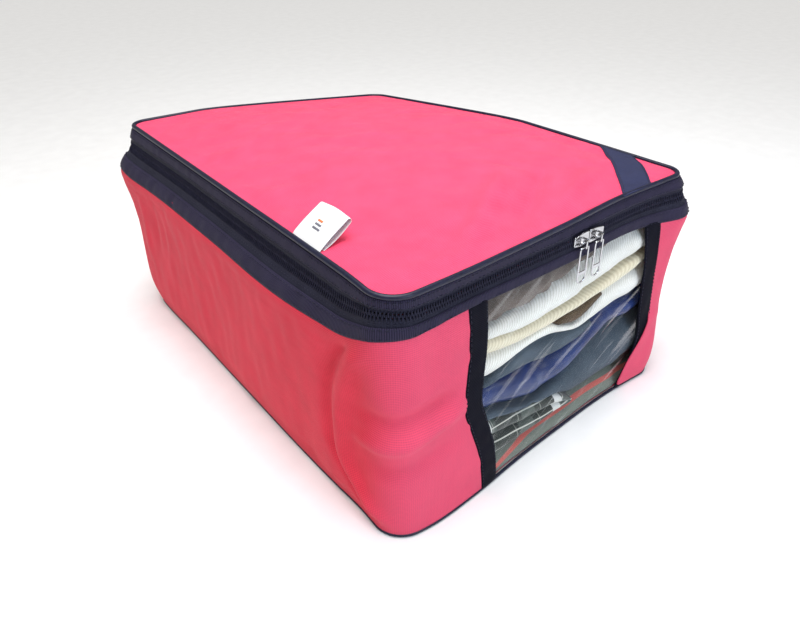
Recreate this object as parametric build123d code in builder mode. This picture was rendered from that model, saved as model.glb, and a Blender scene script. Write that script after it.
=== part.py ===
"""Soft storage bag with a zipped lid and a clear window, holding folded blankets.

Millimetres. X runs along the short front side, Y towards the back, Z up.
The origin is the middle of the underside, and the window is in the front side, at -Y.
Sheet parts are placed by their offset from the footprint: positive is outward.
"""

import os

from build123d import *

# Overall shape
WIDTH = 360.0
DEPTH = 500.0
CORNER = 30.0
LID_SEAM = 232.6
FRONT = -DEPTH / 2
BACK = DEPTH / 2

# The wall's shape: height, then how far the long sides and the two ends stand outside the
# footprint there. The contents push the wall out below the zip.
WALL_SHAPE = [
    (4.0, 6.0, 5.0),
    (60.0, 13.0, 4.0),
    (150.0, 15.0, 3.0),
    (195.0, 14.0, 2.0),
    (207.2, 0.0, 0.0),
]

# Sheet thicknesses
CLOTH = 1.5
WEBBING = 1.2
TAPE = 0.9
FILM = 0.6
FLANGE = 0.8
GAP = 0.2

# Heights of the wall's layers
BASE = 1.6
WALL_BOTTOM = 4.0
WALL_TOP = 207.0
RIM_BOTTOM = 196.0
RIM_TOP = 207.2
GUSSET_BOTTOM = 223.0
ZIP_HEIGHT = 216.0

# Zip
COIL_GAP = 2.8
COIL_WIDTH = 3.8
COIL_DEPTH = 2.6
TAPE_REACH = 12.0
TAPE_OFFSET = -CLOTH - 0.1
ZIP_END = 110.0
TAB_LENGTH = 8.5

# Cloth hinge at the back
HINGE_HALF = 100.0
HINGE_HALF_GAP = 0.4

# Piping
LID_BEAD = 2.4
BASE_BEAD = 1.8
BASE_BEAD_HEIGHT = 2.05
FLANGE_REACH = 10.0

# Window
WINDOW_LEFT = -95.0
WINDOW_RIGHT = 129.0
WINDOW_TAPE = 20.0

# Slider, with its bail and pull
SLIDER_SPOTS = {"left": 21.0, "right": 41.0}
SLIDER_LENGTH = 19.0
SLIDER_HEIGHT = 12.4
SLIDER_NOSE = 8.6
PLATE = 1.8
BACK_PLATE = 1.6
PLATE_CLEARANCE = 0.4
PLATE_ROUND = 1.6
PLATE_EDGE = 0.6
POST = (3.0, 2.0)
POST_ROUND = 0.6
BAIL_RISE = 3.6
BAIL_LENGTH = 9.0
BAIL_WIRE = 0.9
BAIL_BEND = 1.6
LINK_HOLE = 1.0
LINK_DROP = 5.2
LINK_HALF_WIDTH = 2.0
LINK_THICK = 1.8
PULL_WIRE = 0.8
PULL_EYE = 0.9
PULL_WIDTH = 10.4
PULL_BEND = 1.8
PULL_END = PULL_WIDTH / 2 - 0.3
PULL_LENGTH = 34.0
PULL_BAR_SHARE = 0.73
PULL_BAR_HEIGHT = 3.2

# Contents, from the bottom up: name and height of the top
CONTENTS = [
    ("blanket_striped", 20.0),
    ("blanket_plaid", 52.0),
    ("blanket_slate", 72.0),
    ("quilt_navy", 112.0),
    ("blanket_grey", 124.0),
    ("blanket_cream", 146.0),
    ("blanket_ribbed", 172.0),
    ("blanket_taupe", 204.0),
]
CONTENTS_INSET = 4.5
CONTENTS_GAP = 0.5
CONTENTS_ROUND = 4.0

os.makedirs("parts", exist_ok=True)


def save(piece, name):
    """Label a finished piece and write it."""
    piece.part.label = name
    export_step(piece.part, f"parts/{name}.step")


def outline(offset, mode=Mode.ADD):
    """The bag's footprint, moved outward by an offset."""
    RectangleRounded(WIDTH + 2 * offset, DEPTH + 2 * offset, CORNER + offset, mode=mode)


def band(outer, thickness, low, high):
    """An upright band all round, with its outer face at an offset."""
    with BuildSketch(Plane.XY.offset(low)) as ring:
        outline(outer)
        outline(outer - thickness, Mode.SUBTRACT)
    extrude(ring.sketch, amount=high - low)


def wall_offsets(height):
    """How far the long sides and the ends stand out at a height."""
    for (z0, side0, end0), (z1, side1, end1) in zip(WALL_SHAPE, WALL_SHAPE[1:]):
        if height <= z1:
            share = (height - z0) / (z1 - z0)
            return side0 + share * (side1 - side0), end0 + share * (end1 - end0)
    return 0.0, 0.0


def wall_solid(outer, low, high, mode=Mode.ADD):
    """The block inside the wall's shape, with its faces moved outward, between two heights."""
    heights = [low] + [z for z, _, _ in WALL_SHAPE if low < z < high] + [high]
    levels = []
    for height in heights:
        side, end = wall_offsets(height)
        with BuildSketch(Plane.XY.offset(height)) as level:
            RectangleRounded(WIDTH + 2 * (side + outer), DEPTH + 2 * (end + outer), CORNER + end + outer)
        levels.append(level.sketch)
    loft(levels, ruled=True, mode=mode)


def wall_skin(outer, thickness, low, high):
    """A sheet that follows the wall all round."""
    wall_solid(outer, low, high)
    wall_solid(outer - thickness, low, high, Mode.SUBTRACT)


def slab(offset, low, thickness):
    """A flat panel of the footprint's shape."""
    with BuildSketch(Plane.XY.offset(low)) as panel:
        outline(offset)
    extrude(panel.sketch, amount=thickness)


def cut_box(low, high):
    """Remove the block between two corners."""
    centre = tuple((a + b) / 2 for a, b in zip(low, high))
    size = tuple(b - a for a, b in zip(low, high))
    with Locations(centre):
        Box(*size, mode=Mode.SUBTRACT)


def cut_back(half_width):
    """Remove the middle of a band's back side."""
    cut_box((-half_width, 0, 0), (half_width, DEPTH, 2 * LID_SEAM))


def keep_back(half_width):
    """Keep only the middle of a band's back side."""
    cut_box((-WIDTH, -DEPTH, 0), (WIDTH, 0, 2 * LID_SEAM))
    cut_box((-WIDTH, 0, 0), (-half_width, DEPTH, 2 * LID_SEAM))
    cut_box((half_width, 0, 0), (WIDTH, DEPTH, 2 * LID_SEAM))


def keep_front(left, right):
    """Keep only the stretch of a band's front side between two places."""
    cut_box((-WIDTH, 0, 0), (WIDTH, DEPTH, 2 * LID_SEAM))
    cut_box((-WIDTH, -DEPTH, 0), (left, 0, 2 * LID_SEAM))
    cut_box((right, -DEPTH, 0), (WIDTH, 0, 2 * LID_SEAM))


def piping(radius, height, flange_low):
    """A round bead on the footprint's line, with the flange that is sewn into the seam."""
    corners = [(-WIDTH / 2, FRONT), (WIDTH / 2, FRONT), (WIDTH / 2, BACK), (-WIDTH / 2, BACK)]
    with BuildLine(Plane.XY.offset(height)) as route:
        FilletPolyline(*corners, radius=CORNER, close=True)
    with BuildSketch(Plane(origin=route.line @ 0, z_dir=route.line % 0)) as bead:
        Circle(radius)
    sweep(bead.sketch, path=route.line)
    band(-1.0, FLANGE_REACH - 1.0, flange_low, flange_low + FLANGE)


# Bottom and walls

with BuildPart() as bottom_panel:
    slab(-BASE_BEAD - GAP, 0, BASE)
save(bottom_panel, "bottom_panel")

with BuildPart() as bottom_piping:
    piping(BASE_BEAD, BASE_BEAD_HEIGHT, BASE + GAP)
save(bottom_piping, "bottom_piping")

with BuildPart() as side_wall_left:
    wall_skin(0, CLOTH, WALL_BOTTOM, WALL_TOP)
    cut_box((WINDOW_LEFT, -DEPTH, 0), (WIDTH, 0, LID_SEAM))
    cut_box((0, -GAP, 0), (WIDTH, DEPTH, LID_SEAM))
save(side_wall_left, "side_wall_left")

with BuildPart() as side_wall_right:
    wall_skin(0, CLOTH, WALL_BOTTOM, WALL_TOP)
    cut_box((-WIDTH, -DEPTH, 0), (WINDOW_RIGHT, 0, LID_SEAM))
    cut_box((-WIDTH, -GAP, 0), (0, DEPTH, LID_SEAM))
save(side_wall_right, "side_wall_right")

with BuildPart() as window_film:
    wall_skin(FILM - CLOTH, FILM, WALL_BOTTOM, WALL_TOP)
    keep_front(WINDOW_LEFT + GAP, WINDOW_RIGHT - GAP)
save(window_film, "window_film")

for side, edge in (("left", WINDOW_LEFT), ("right", WINDOW_RIGHT)):
    with BuildPart() as window_tape:
        wall_skin(WEBBING, WEBBING, WALL_BOTTOM, RIM_BOTTOM - GAP)
        keep_front(edge - WINDOW_TAPE / 2, edge + WINDOW_TAPE / 2)
    save(window_tape, f"window_tape_{side}")

with BuildPart() as rim_webbing:
    wall_skin(WEBBING, WEBBING, RIM_BOTTOM, RIM_TOP)
save(rim_webbing, "rim_webbing")

# Zip: each half has its tape and its coil, and they end short of the cloth hinge

with BuildPart() as zip_tape_lower:
    band(TAPE_OFFSET, TAPE, ZIP_HEIGHT - TAPE_REACH, ZIP_HEIGHT - COIL_GAP / 2)
    cut_back(ZIP_END)
save(zip_tape_lower, "zip_tape_lower")

with BuildPart() as zip_tape_upper:
    band(TAPE_OFFSET, TAPE, ZIP_HEIGHT + COIL_GAP / 2, ZIP_HEIGHT + TAPE_REACH)
    cut_back(ZIP_END)
save(zip_tape_upper, "zip_tape_upper")

COIL_FACE = COIL_DEPTH - CLOTH

with BuildPart() as zip_coil_lower:
    band(COIL_FACE, COIL_DEPTH, ZIP_HEIGHT - COIL_GAP / 2 - COIL_WIDTH, ZIP_HEIGHT - COIL_GAP / 2)
    cut_back(ZIP_END)
save(zip_coil_lower, "zip_coil_lower")

with BuildPart() as zip_coil_upper:
    band(COIL_FACE, COIL_DEPTH, ZIP_HEIGHT + COIL_GAP / 2, ZIP_HEIGHT + COIL_GAP / 2 + COIL_WIDTH)
    cut_back(ZIP_END)
save(zip_coil_upper, "zip_coil_upper")

with BuildPart() as zip_end_tabs:
    with GridLocations(2 * (ZIP_END - TAB_LENGTH / 2 - GAP), 0, 2, 1):
        with Locations((0, BACK - CLOTH / 2, ZIP_HEIGHT - COIL_GAP / 2 - COIL_WIDTH / 2)):
            Box(TAB_LENGTH, CLOTH, COIL_WIDTH)
save(zip_end_tabs, "zip_end_tabs")

with BuildPart() as hinge_strip_lower:
    band(0, CLOTH, WALL_TOP + GAP, ZIP_HEIGHT - HINGE_HALF_GAP)
    keep_back(HINGE_HALF)
save(hinge_strip_lower, "hinge_strip_lower")

with BuildPart() as hinge_strip_upper:
    band(0, CLOTH, ZIP_HEIGHT + HINGE_HALF_GAP, GUSSET_BOTTOM - GAP)
    keep_back(HINGE_HALF)
save(hinge_strip_upper, "hinge_strip_upper")

# Lid

with BuildPart() as lid_gusset:
    band(0, CLOTH, GUSSET_BOTTOM, LID_SEAM)
save(lid_gusset, "lid_gusset")

FLANGE_LOW = LID_SEAM + 0.1
PANEL_LOW = FLANGE_LOW + FLANGE + 0.1
PANEL_TOP = PANEL_LOW + CLOTH
BEAD_HEIGHT = PANEL_LOW + 1.8

with BuildPart() as lid_piping:
    piping(LID_BEAD, BEAD_HEIGHT, FLANGE_LOW)
save(lid_piping, "lid_piping")

with BuildPart() as lid_panel:
    slab(-LID_BEAD - GAP, PANEL_LOW, CLOTH)
save(lid_panel, "lid_panel")

# The strap crosses the front right corner: where its two edges meet the front and the right seam
STRAP_FRONT = (80.0, 125.0)
STRAP_SIDE = (-147.0, -192.0)

with BuildPart() as corner_strap:
    with BuildSketch(Plane.XY.offset(PANEL_TOP + GAP)):
        with BuildLine():
            Polyline(
                (STRAP_FRONT[0], FRONT),
                (STRAP_FRONT[1], FRONT),
                (WIDTH / 2, STRAP_SIDE[1]),
                (WIDTH / 2, STRAP_SIDE[0]),
                close=True,
            )
        make_face()
        outline(-LID_BEAD - 2 * GAP, Mode.INTERSECT)
    extrude(amount=WEBBING)
save(corner_strap, "corner_strap")

# A folded tape loop that stands up from the left seam
LABEL_ROOT = (-WIDTH / 2 + 3.6, PANEL_TOP + GAP)
LABEL_TIP = (-WIDTH / 2 + 31.5, PANEL_TOP + 16.0)
LABEL_SPAN = (-165.0, -123.0)
LABEL_THICK = 2.2

with BuildPart() as label:
    with BuildSketch(Plane.XZ.offset(-LABEL_SPAN[1])):
        with BuildLine():
            Polyline(
                LABEL_ROOT,
                LABEL_TIP,
                (LABEL_TIP[0], LABEL_TIP[1] + LABEL_THICK),
                (LABEL_ROOT[0], LABEL_ROOT[1] + LABEL_THICK),
                close=True,
            )
        make_face()
    extrude(amount=LABEL_SPAN[1] - LABEL_SPAN[0])
save(label, "label")

# Sliders: y is counted outward from the footprint line at the front
PLATE_INNER = COIL_FACE + PLATE_CLEARANCE
PLATE_OUTER = PLATE_INNER + PLATE
BACK_PLATE_OUTER = TAPE_OFFSET - TAPE - PLATE_CLEARANCE
BAIL_OUT = PLATE_OUTER + BAIL_RISE


def slider_plate(centre, nose, outward):
    """A plate's shape at an offset, wide at the post end and narrow at the nose."""
    tip = centre + nose * SLIDER_LENGTH / 2
    shoulder = centre - nose * SLIDER_LENGTH / 10
    end = centre - nose * SLIDER_LENGTH / 2
    with BuildSketch(Plane.XZ.offset(DEPTH / 2 + outward)) as plate:
        with BuildLine():
            Polyline(
                (tip, ZIP_HEIGHT - SLIDER_NOSE / 2),
                (shoulder, ZIP_HEIGHT - SLIDER_HEIGHT / 2),
                (end, ZIP_HEIGHT - SLIDER_HEIGHT / 2),
                (end, ZIP_HEIGHT + SLIDER_HEIGHT / 2),
                (shoulder, ZIP_HEIGHT + SLIDER_HEIGHT / 2),
                (tip, ZIP_HEIGHT + SLIDER_NOSE / 2),
                close=True,
            )
        make_face()
        fillet(plate.vertices(), PLATE_ROUND)
    return plate.sketch


for side, spot in SLIDER_SPOTS.items():
    nose = -1 if side == "left" else 1
    post_x = spot - nose * (SLIDER_LENGTH / 2 - POST[0])

    with BuildPart() as slider:
        extrude(slider_plate(spot, nose, PLATE_INNER), amount=PLATE)
        fillet(slider.faces().sort_by(Axis.Y)[0].edges(), PLATE_EDGE)
        extrude(slider_plate(spot, nose, BACK_PLATE_OUTER - BACK_PLATE), amount=BACK_PLATE)
        with BuildSketch(Plane.XZ.offset(DEPTH / 2 + BACK_PLATE_OUTER - BACK_PLATE / 2)):
            with Locations((post_x, ZIP_HEIGHT)):
                RectangleRounded(POST[0], POST[1], POST_ROUND)
        extrude(amount=PLATE_INNER - BACK_PLATE_OUTER + BACK_PLATE / 2 + PLATE / 2)
        bail_foot = FRONT - PLATE_OUTER + PLATE / 2
        bail_top = FRONT - BAIL_OUT
        with BuildLine(Plane.XY.offset(ZIP_HEIGHT)) as bail_line:
            FilletPolyline(
                (spot - BAIL_LENGTH / 2, bail_foot),
                (spot - BAIL_LENGTH / 2, bail_top),
                (spot + BAIL_LENGTH / 2, bail_top),
                (spot + BAIL_LENGTH / 2, bail_foot),
                radius=BAIL_BEND,
            )
        with BuildSketch(Plane(origin=bail_line.line @ 0, z_dir=bail_line.line % 0)):
            Circle(BAIL_WIRE)
        sweep(path=bail_line.line)
    save(slider, f"slider_{side}")

    with BuildPart() as pull_link:
        with BuildSketch(Plane.YZ.offset(spot - LINK_THICK / 2)):
            with Locations((bail_top, ZIP_HEIGHT - LINK_DROP / 2)):
                SlotCenterToCenter(LINK_DROP, 2 * LINK_HALF_WIDTH, rotation=90)
            with Locations((bail_top, ZIP_HEIGHT)):
                Circle(LINK_HOLE, mode=Mode.SUBTRACT)
            with Locations((bail_top, ZIP_HEIGHT - LINK_DROP)):
                Circle(PULL_EYE, mode=Mode.SUBTRACT)
        extrude(amount=LINK_THICK)
    save(pull_link, f"pull_link_{side}")

    pull_top = ZIP_HEIGHT - LINK_DROP
    half_pull = PULL_WIDTH / 2
    with BuildPart() as pull:
        with BuildLine(Plane.XZ.offset(-bail_top)) as pull_line:
            FilletPolyline(
                (spot - half_pull, pull_top),
                (spot - half_pull, pull_top - PULL_LENGTH),
                (spot + half_pull, pull_top - PULL_LENGTH),
                (spot + half_pull, pull_top),
                radius=[PULL_BEND, PULL_END, PULL_END, PULL_BEND],
                close=True,
            )
        with BuildSketch(Plane(origin=pull_line.line @ 0, z_dir=pull_line.line % 0)):
            Circle(PULL_WIRE)
        sweep(path=pull_line.line)
        with Locations((spot, bail_top, pull_top - PULL_LENGTH * PULL_BAR_SHARE)):
            Box(PULL_WIDTH, PULL_WIRE, PULL_BAR_HEIGHT)
    save(pull, f"pull_{side}")

# Contents: folded blankets, one on another

low = BASE + FLANGE + 2 * GAP
for name, high in CONTENTS:
    with BuildPart() as blanket:
        slab(-CONTENTS_INSET, low, high - low)
        fillet(blanket.edges().group_by(Axis.Z)[0], CONTENTS_ROUND)
        fillet(blanket.edges().group_by(Axis.Z)[-1], CONTENTS_ROUND)
    save(blanket, name)
    low = high + CONTENTS_GAP
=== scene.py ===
"""Looks for the blanket storage bag: cloth, webbing, zip, clear window and folded blankets.

Metres, in the CAD's frame: X along the short front side, Y to the back, Z up.
"""

import math
from functools import reduce

import bmesh
import bpy
import numpy as np
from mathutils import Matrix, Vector
from mathutils.bvhtree import BVHTree


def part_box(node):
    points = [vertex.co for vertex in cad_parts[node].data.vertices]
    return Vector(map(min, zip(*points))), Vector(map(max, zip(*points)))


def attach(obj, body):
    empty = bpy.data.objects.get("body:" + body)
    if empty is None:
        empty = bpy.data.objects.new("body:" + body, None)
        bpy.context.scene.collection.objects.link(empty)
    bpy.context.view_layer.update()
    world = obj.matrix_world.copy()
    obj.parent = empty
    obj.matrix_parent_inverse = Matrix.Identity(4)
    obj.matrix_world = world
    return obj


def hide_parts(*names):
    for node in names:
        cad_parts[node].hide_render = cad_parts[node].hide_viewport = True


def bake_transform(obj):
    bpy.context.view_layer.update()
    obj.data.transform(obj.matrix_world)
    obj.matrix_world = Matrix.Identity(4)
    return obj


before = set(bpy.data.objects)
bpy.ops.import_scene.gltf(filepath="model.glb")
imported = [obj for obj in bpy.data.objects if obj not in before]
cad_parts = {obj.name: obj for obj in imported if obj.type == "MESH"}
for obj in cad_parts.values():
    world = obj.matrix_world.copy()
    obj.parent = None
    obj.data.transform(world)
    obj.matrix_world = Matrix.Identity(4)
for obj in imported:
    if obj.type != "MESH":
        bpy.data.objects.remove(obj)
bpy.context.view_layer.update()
MM = 0.001

# ---------------------------------------------------------------- sizes read from the frame
gusset_low, gusset_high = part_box("lid_gusset")
HALF_W = gusset_high.x
HALF_D = gusset_high.y
SEAM = gusset_high.z
GUSSET_LOW = gusset_low.z
LID_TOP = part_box("lid_panel")[1].z
BEAD_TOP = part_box("lid_piping")[1].z
ZIP_Z = (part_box("zip_coil_lower")[1].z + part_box("zip_coil_upper")[0].z) / 2
ZIP_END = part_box("zip_end_tabs")[1].x
HINGE_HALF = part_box("hinge_strip_lower")[1].x
RIM_LOW, RIM_TOP = (corner.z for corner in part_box("rim_webbing"))

# ---------------------------------------------------------------- the bag's outline
# s runs along the outline from the middle of the back, over the left side and the front, and round.
# Corner radii: back left, front left, front right, back right
RADII = np.array([18, 23, 18, 18]) * MM
TURNS = RADII * math.pi / 2
SIGNS = [(-1, 1), (-1, -1), (1, -1), (1, 1)]
HEADINGS = [(-1, 0), (0, -1), (1, 0), (0, 1), (-1, 0)]
CENTRES = [(sx * (HALF_W - r), sy * (HALF_D - r)) for (sx, sy), r in zip(SIGNS, RADII)]
STRAIGHTS = [
    HALF_W - RADII[0],
    2 * HALF_D - RADII[0] - RADII[1],
    2 * HALF_W - RADII[1] - RADII[2],
    2 * HALF_D - RADII[2] - RADII[3],
    HALF_W - RADII[3],
]
STARTS = [
    (0, HALF_D),
    (-HALF_W, HALF_D - RADII[0]),
    (-HALF_W + RADII[1], -HALF_D),
    (HALF_W, -HALF_D + RADII[2]),
    (HALF_W - RADII[3], HALF_D),
]
LENGTH = sum(STRAIGHTS) + TURNS.sum()
LEFT_START = STRAIGHTS[0] + TURNS[0]
FRONT_MID = LEFT_START + STRAIGHTS[1] + TURNS[1] + HALF_W - RADII[1]
RIGHT_START = FRONT_MID + HALF_W - RADII[2] + TURNS[2]


def outline(s):
    """Points on the outline and the outward directions there."""
    s = np.mod(np.asarray(s, float), LENGTH)
    x, y, nx, ny = (np.zeros_like(s) for _ in range(4))
    at = 0.0
    for i in range(5):
        on = (s >= at - 1e-12) & (s < at + STRAIGHTS[i] + 1e-12)
        d = s - at
        hx, hy = HEADINGS[i]
        x = np.where(on, STARTS[i][0] + hx * d, x)
        y = np.where(on, STARTS[i][1] + hy * d, y)
        nx = np.where(on, hy, nx)
        ny = np.where(on, -hx, ny)
        at += STRAIGHTS[i]
        if i < 4:
            on = (s > at) & (s < at + TURNS[i])
            a = math.pi / 2 + i * math.pi / 2 + (s - at) / RADII[i]
            x = np.where(on, CENTRES[i][0] + RADII[i] * np.cos(a), x)
            y = np.where(on, CENTRES[i][1] + RADII[i] * np.sin(a), y)
            nx = np.where(on, np.cos(a), nx)
            ny = np.where(on, np.sin(a), ny)
            at += TURNS[i]
    return x, y, nx, ny


def place(side, at=0.0):
    """The distance s of a corner or of a place on a side: x on the front or back, y on the left or right."""
    return {
        "left": LEFT_START + HALF_D - RADII[0] - at,
        "front": FRONT_MID + at,
        "right": RIGHT_START + at + HALF_D - RADII[2],
        "back": -at if at <= 0 else LENGTH - at,
        "back left": BACK_LEFT,
        "front left": FRONT_LEFT,
        "front right": FRONT_RIGHT,
    }[side]


# Distances of the middles of the four corners
BACK_LEFT = STRAIGHTS[0] + TURNS[0] / 2
FRONT_LEFT = LEFT_START + STRAIGHTS[1] + TURNS[1] / 2
FRONT_RIGHT = RIGHT_START - TURNS[2] / 2
BACK_RIGHT = RIGHT_START + STRAIGHTS[3] + TURNS[3] / 2


def smooth(t):
    t = np.clip(t, 0, 1)
    return t * t * (3 - 2 * t)


def curve(points, t, period=None):
    """A smooth line through (t, value) points."""
    ts, vs = (np.array(v, float) for v in zip(*points))
    t = np.asarray(t, float)
    if period:
        ts = np.concatenate([ts[-2:] - period, ts, ts[:2] + period])
        vs = np.concatenate([vs[-2:], vs, vs[:2]])
        t = np.mod(t, period)
    slope = np.gradient(vs, ts)
    i = np.clip(np.searchsorted(ts, t) - 1, 0, len(ts) - 2)
    h = ts[i + 1] - ts[i]
    u = np.clip((t - ts[i]) / h, 0, 1)
    return (
        (2 * u**3 - 3 * u**2 + 1) * vs[i]
        + (u**3 - 2 * u**2 + u) * h * slope[i]
        + (-2 * u**3 + 3 * u**2) * vs[i + 1]
        + (u**3 - u**2) * h * slope[i + 1]
    )


def waves(x, y, seed, scale, count=9):
    """A soft random field between about -1 and 1, made of plane waves; scale is in metres."""
    local = np.random.default_rng(seed)
    total = np.zeros(np.broadcast(x, y).shape)
    for _ in range(count):
        angle = local.uniform(0, math.pi)
        k = 2 * math.pi / (scale * local.uniform(0.6, 1.7))
        total = total + np.sin(k * (x * math.cos(angle) + y * math.sin(angle)) + local.uniform(0, 7))
    return total / math.sqrt(count)


# ---------------------------------------------------------------- the bag's filled shape
def spots(*points):
    """(distance, value) points from (side, place, value) or (corner, value)."""
    return [(place(*point[:-1]), point[-1]) for point in points]


TOP = 0.26
# How far the filled bag stands out from the outline, side by side, in millimetres
FULLNESS = spots(
    ("back", 0, 7), ("back", -0.13, 13), ("left", 0.225, 23.5), ("left", 0.15, 21), ("left", 0.0, 19),
    ("left", -0.15, 17), ("left", -0.205, 9.5), ("front left", 3.5), ("front", -0.14, 2.6),
    ("front", -0.11, 2.2), ("front", 0.02, 3.0), ("front", 0.135, 4.5), ("front right", 15),
    ("right", -0.225, 23), ("right", -0.15, 19), ("right", 0.0, 15), ("right", 0.15, 14),
    ("right", 0.235, 10), ("back", 0.13, 7),
)
# Its share at each height, from the floor up
FULL_AT = [
    (0, 0.34), (0.012, 0.50), (0.03, 0.70), (0.075, 0.88), (0.12, 0.97), (0.15, 1.0),
    (ZIP_Z - 0.034, 1.0), (ZIP_Z - 0.022, 0.93), (ZIP_Z - 0.014, 0.66), (ZIP_Z - 0.006, 0.26),
    (ZIP_Z, 0.06), (ZIP_Z + 0.005, 0.0), (TOP, 0.0),
]
# The bottom of the front stands forward, most at the left corner, and the left side tucks in
TOE = spots(
    ("left", 0.2, 0), ("left", 0.0, -1.5), ("left", -0.17, -3.5), ("left", -0.21, -3), ("front left", 1),
    ("front", -0.14, 6), ("front", -0.10, 6), ("front", -0.03, 1), ("front", 0.05, -1.5),
    ("front", 0.14, -1), ("right", 0.0, 0),
)
# The band about the zip rounds outwards on the sides, but runs straight under the sliders
BAND = spots(
    ("back", 0, 0), ("back", -0.115, 0.3), ("back left", 5.5), ("left", 0.21, 5), ("left", 0.1, 3),
    ("left", -0.15, 3.0), ("front", -0.165, 1.6), ("front", -0.13, 0.1), ("front", 0, 0),
    ("front", 0.135, 0.1), ("front right", 6.5), ("right", -0.21, 6.5), ("right", 0.0, 4),
    ("right", 0.225, 3), ("back", 0.115, 0.3),
)
BAND_AT = [
    (0, 0), (ZIP_Z - 0.030, 0), (ZIP_Z - 0.016, 0.6), (ZIP_Z - 0.004, 0.9), (ZIP_Z + 0.001, 0.85),
    (ZIP_Z + 0.007, 1.0), (SEAM - 0.004, 0.8), (SEAM + 0.002, 0.2), (TOP, 0.0),
]
# Along the left side the zip and the rim run lower, most towards the back
DIP = spots(
    ("back", -0.112, 0), ("left", 0.22, 7), ("left", 0.1, 7), ("left", -0.1, 6.5), ("left", -0.18, 5.5),
    ("left", -0.215, 5), ("front left", 1), ("front", -0.14, 0),
)
DIP_AT = [
    (0, 0), (0.10, 0.0), (0.17, 0.75), (RIM_LOW, 1.0), (RIM_TOP, 0.7), (ZIP_Z, 0.5), (SEAM, 0.0), (TOP, 0.0),
]
# Along the front the rim's lower edge runs higher, and at the left corner the zip does too
RISE = spots(
    ("left", -0.22, 0), ("front left", 2), ("front", -0.13, 5), ("front", -0.05, 4), ("front", 0.08, 3),
    ("front", 0.15, 0),
)
RISE_AT = [(0, 0), (RIM_LOW - 0.03, 0.1), (RIM_LOW, 1.0), (RIM_TOP, 0.35), (ZIP_Z - 0.003, 0), (TOP, 0.0)]
LIFT = spots(("left", -0.20, 0), ("front left", 4.5), ("front", -0.153, 1.5), ("front", -0.137, 0))
LIFT_AT = [
    (0, 0), (RIM_LOW - 0.04, 0.1), (RIM_LOW, 0.9), (RIM_TOP, 1.0), (ZIP_Z, 1.0), (SEAM, 0.0), (TOP, 0.0),
]
# Near the back right corner, everything down to the rim sinks
SINK = spots(
    ("right", 0.05, 0), ("right", 0.15, 6), ("right", 0.225, 11), ("back", 0.155, 14), ("back", 0.125, 11),
    ("back", 0.095, 5), ("back", 0.06, 0),
)
SINK_AT = [(0, 0), (0.08, 0.0), (0.15, 0.45), (RIM_LOW, 0.8), (ZIP_Z, 1.0), (SEAM, 1.0), (TOP, 1.0)]
# The lid's edge bows out beside the front left corner and dips in towards the right
LIP = spots(
    ("left", -0.2, 0), ("front", -0.155, 1.5), ("front", -0.1, 1.5), ("front", 0.0, -1.2),
    ("front", 0.085, -5.5), ("front", 0.15, -2), ("right", -0.2, 0),
)
# The lid's sag at the back right: its depth, and where it starts and how far it runs in x and y
SAG = 27 * MM
SAG_X, SAG_Y = (-0.100, 0.280), (-0.045, 0.290)
# How much of it the gusset takes up by folding
GIVE = 14 * MM


def bump(points, s):
    """A smooth line through the points, and zero outside them."""
    low, high = points[0][0], points[-1][0]
    return np.where((s >= low) & (s <= high), curve(points, np.clip(s, low, high)), 0.0)


def smooth_start(at, start, run):
    """A straight ramp with a soft start."""
    t = np.clip((at - start) / run, 0, 1.1)
    return t * t / (t + 0.12) * 1.1


def sag(x, y):
    """How far the lid sinks towards the back right corner, where nothing holds it up."""
    return SAG * smooth_start(x, *SAG_X) * smooth_start(y, *SAG_Y)


def skin(s, z, lift=0.0):
    """Points of the bag's outer surface at heights z, raised by lift along the surface's normal."""

    def base(s, z):
        x, y, nx, ny = outline(s)
        way = np.mod(s, LENGTH)
        level = np.clip(z, 0, TOP)
        full = curve(FULLNESS, s, LENGTH) * curve(FULL_AT, level)
        toe = bump(TOE, way) * (1 - smooth(z / 0.15))
        lip = bump(LIP, way) * smooth((z - ZIP_Z - 0.006) / 0.012)
        round_out = curve(BAND, s, LENGTH) * curve(BAND_AT, level)
        low_sink = bump(SINK, way) * MM
        top_sink = np.minimum(sag(x, y), GIVE + 1.5 * low_sink)
        fold = np.clip(top_sink - low_sink, 0, GIVE) / GIVE
        crushed = np.clip((z - ZIP_Z - 0.003) / (SEAM - ZIP_Z - 0.002), 0, 1)
        out = (full + toe + lip + round_out) * MM + 6 * MM * fold * np.sin(np.pi * crushed)
        drop = low_sink * curve(SINK_AT, level) + (top_sink - low_sink) * smooth(crushed)
        drop = drop + bump(DIP, way) * curve(DIP_AT, level) * MM
        drop = drop - (bump(RISE, way) * curve(RISE_AT, level) + bump(LIFT, way) * curve(LIFT_AT, level)) * MM
        return np.stack([x + nx * out, y + ny * out, z - drop], -1)

    s, z, lift = np.broadcast_arrays(*(np.asarray(value, float) for value in (s, z, lift)))
    p = base(s, z)
    if np.all(lift == 0):
        return p
    ds = base(s + 0.5 * MM, z) - base(s - 0.5 * MM, z)
    dz = base(s, z + 0.5 * MM) - base(s, z - 0.5 * MM)
    n = np.cross(ds, dz)
    n /= np.linalg.norm(n, axis=-1, keepdims=True)
    return p + n * lift[..., None]


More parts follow.
